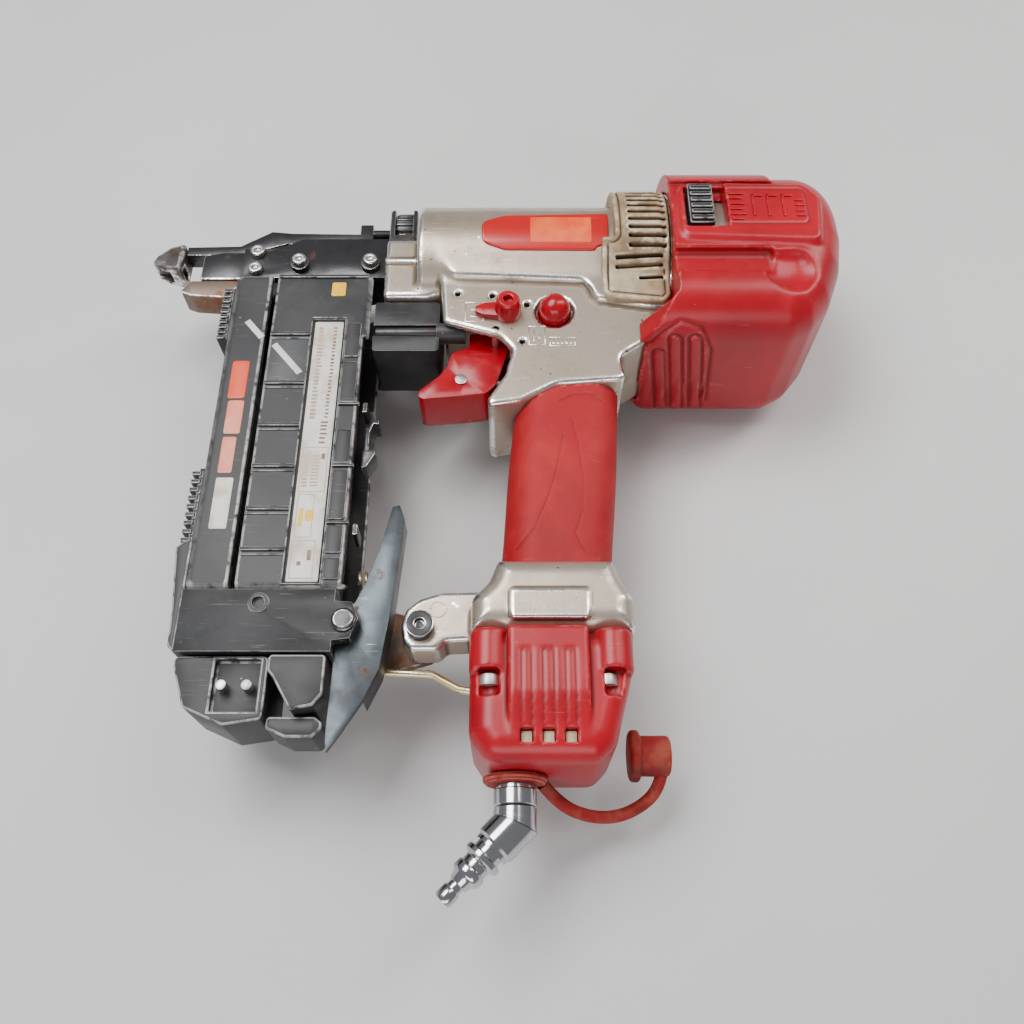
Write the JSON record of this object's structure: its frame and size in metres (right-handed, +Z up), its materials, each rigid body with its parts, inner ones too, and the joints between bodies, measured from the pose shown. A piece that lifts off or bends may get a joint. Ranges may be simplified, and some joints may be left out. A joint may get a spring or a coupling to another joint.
{
  "type": "pneumatic floor nailer",
  "caption": "Air driven floor nailer with barrel, rear cap, leaning grip, trigger, slide-out magazine, depth dial, contact arm and swivel air plug, lying on its side.",
  "frame": {"origin": "on the surface that the tool lies on, under the middle of its outline without the dust cap and its strap", "axes": "+X along the barrel from the nose to the rear cap, +Y from the foot of the grip to the barrel, +Z up from the surface, square to the tool's middle plane"},
  "size_m": [0.2915, 0.2979, 0.082],
  "materials": {
    "cast_body": "painted casting, worn",
    "red_cover": "satin moulded",
    "red_rubber": "soft grip",
    "red_knob": "smooth",
    "vent": "dusty brown",
    "plate": "printed plate",
    "black_plastic": "textured",
    "black_rubber": "ribbed",
    "dark_steel": "black oxide",
    "worn_steel": "worn",
    "blade_steel": "ground",
    "chrome": "polished",
    "alloy": "machined",
    "brass": "plain",
    "red_trigger": "painted, chipped",
    "seal": "seal",
    "tan_bumper": "bumper"
  },
  "bodies": {
    "frame": {"body_casting": "cast_body", "cylinder_sleeve": "alloy", "bumper": "tan_bumper", "head_cap": "alloy", "cap_cover": "red_cover", "exhaust_vent_cover": "vent", "name_plate": "plate", "grip_sleeve": "red_rubber", "end_cap": "red_cover", "end_cap_screws": "dark_steel", "inlet_collar": "chrome", "tether_ring": "red_rubber", "cap_tether": "red_rubber", "dust_cap": "red_rubber", "driver_guide": "dark_steel", "guide_screws": "worn_steel", "nose_block": "worn_steel", "nose_shoe": "worn_steel", "adjuster_block": "dark_steel", "link_housing": "black_plastic", "contact_spring": "blade_steel", "trigger_pin": "blade_steel", "trigger_valve_body": "brass", "plunger_spring": "blade_steel", "head_valve_spring": "blade_steel", "magazine_cover": "black_plastic", "upper_front_grip": "black_rubber", "lower_front_grip": "black_rubber", "guard_block": "black_plastic", "end_block": "black_plastic", "magazine_bracket": "dark_steel", "lug_bolt": "dark_steel", "stay_wire": "brass", "latch_pin": "dark_steel", "latch_spring": "blade_steel"},
    "driver": {"piston": "alloy", "piston_ring": "seal", "driver_blade": "blade_steel"},
    "head_valve": {"head_valve": "alloy"},
    "exhaust_slide_knob": {"exhaust_slide_knob": "black_plastic"},
    "contact_arm": {"contact_foot": "worn_steel", "contact_bar": "dark_steel", "contact_link": "dark_steel"},
    "adjuster_dial": {"adjuster_dial": "worn_steel"},
    "trigger": {"trigger": "red_trigger", "trigger_rivet": "blade_steel"},
    "contact_lever": {"contact_lever": "blade_steel"},
    "valve_plunger": {"valve_plunger": "blade_steel"},
    "trigger_lock_knob": {"trigger_lock_knob": "red_knob"},
    "side_button": {"side_button": "red_knob"},
    "magazine_slide": {"magazine_rail": "blade_steel", "pusher_spring": "blade_steel", "foot_block": "black_plastic", "foot_pins": "brass", "rail_end_cap": "black_plastic", "foot_heel": "dark_steel"},
    "pusher": {"pusher": "black_plastic"},
    "latch_lever": {"latch_lever": "worn_steel"},
    "swivel_collar": {"swivel_collar": "chrome"},
    "plug_elbow": {"plug_elbow": "chrome"}
  },
  "joints": [
    {"name": "driver_stroke", "type": "slide", "parent": "frame", "child": "driver", "axis": [-1, 0, 0], "range_m": [0, 0.094]},
    {"name": "head_valve_lift", "type": "slide", "parent": "frame", "child": "head_valve", "axis": [1, 0, 0], "range_m": [0, 0.004], "stiffness_N_per_m": 1500, "springref_m": -0.003, "deforming": ["head_valve_spring"]},
    {"name": "exhaust_knob_slide", "type": "slide", "parent": "frame", "child": "exhaust_slide_knob", "axis": [1, 0, 0], "range_m": [0, 0.004]},
    {"name": "contact_arm_press", "type": "slide", "parent": "frame", "child": "contact_arm", "axis": [1, 0, 0], "range_m": [0, 0.008], "stiffness_N_per_m": 700, "springref_m": -0.006, "deforming": ["contact_spring"]},
    {"name": "depth_dial_turn", "type": "hinge", "parent": "frame", "child": "adjuster_dial", "pos_m": [-0.03625, 0.1292, 0.041], "axis": [1, 0, 0], "continuous": true},
    {"name": "trigger_pull", "type": "hinge", "parent": "frame", "child": "trigger", "pos_m": [0.00425, 0.061, 0.041], "axis": [0, 0, 1], "range_deg": [0, 9], "stiffness_Nm_per_rad": 0.4, "springref_deg": -11.46},
    {"name": "contact_lever_swing", "type": "hinge", "parent": "trigger", "child": "contact_lever", "pos_m": [-0.00955, 0.0436, 0.041], "axis": [0, 0, -1], "range_deg": [0, 7], "stiffness_Nm_per_rad": 0.05, "springref_deg": -11.46},
    {"name": "valve_plunger_press", "type": "slide", "parent": "frame", "child": "valve_plunger", "axis": [1, 0, 0], "range_m": [0, 0.003], "stiffness_N_per_m": 900, "springref_m": -0.002, "deforming": ["plunger_spring"]},
    {"name": "trigger_lock_turn", "type": "hinge", "parent": "frame", "child": "trigger_lock_knob", "pos_m": [0.00915, 0.069, 0.061], "axis": [0, 0, 1], "range_deg": [0, 90]},
    {"name": "side_button_press", "type": "slide", "parent": "frame", "child": "side_button", "axis": [0, 0, -1], "range_m": [0, 0.003], "stiffness_N_per_m": 500, "springref_m": -0.002},
    {"name": "magazine_slide_out", "type": "slide", "parent": "frame", "child": "magazine_slide", "axis": [0, -1, 0], "range_m": [0, 0.12]},
    {"name": "pusher_travel", "type": "slide", "parent": "magazine_slide", "child": "pusher", "axis": [0, -1, 0], "range_m": [0, 0.1], "stiffness_N_per_m": 40, "springref_m": -0.05, "deforming": ["pusher_spring"]},
    {"name": "latch_press", "type": "hinge", "parent": "frame", "child": "latch_lever", "pos_m": [-0.04675, -0.0607, 0.041], "axis": [0, 0, 1], "range_deg": [0, 8], "stiffness_Nm_per_rad": 1.2, "springref_deg": -8.59, "deforming": ["latch_spring"]},
    {"name": "air_swivel", "type": "hinge", "parent": "frame", "child": "swivel_collar", "pos_m": [0.01175, -0.1196, 0.041], "axis": [0, -1, 0], "continuous": true},
    {"name": "elbow_swivel", "type": "hinge", "parent": "swivel_collar", "child": "plug_elbow", "pos_m": [0.01175, -0.125, 0.041], "axis": [-0.3827, -0.9239, 0], "continuous": true}
  ]
}
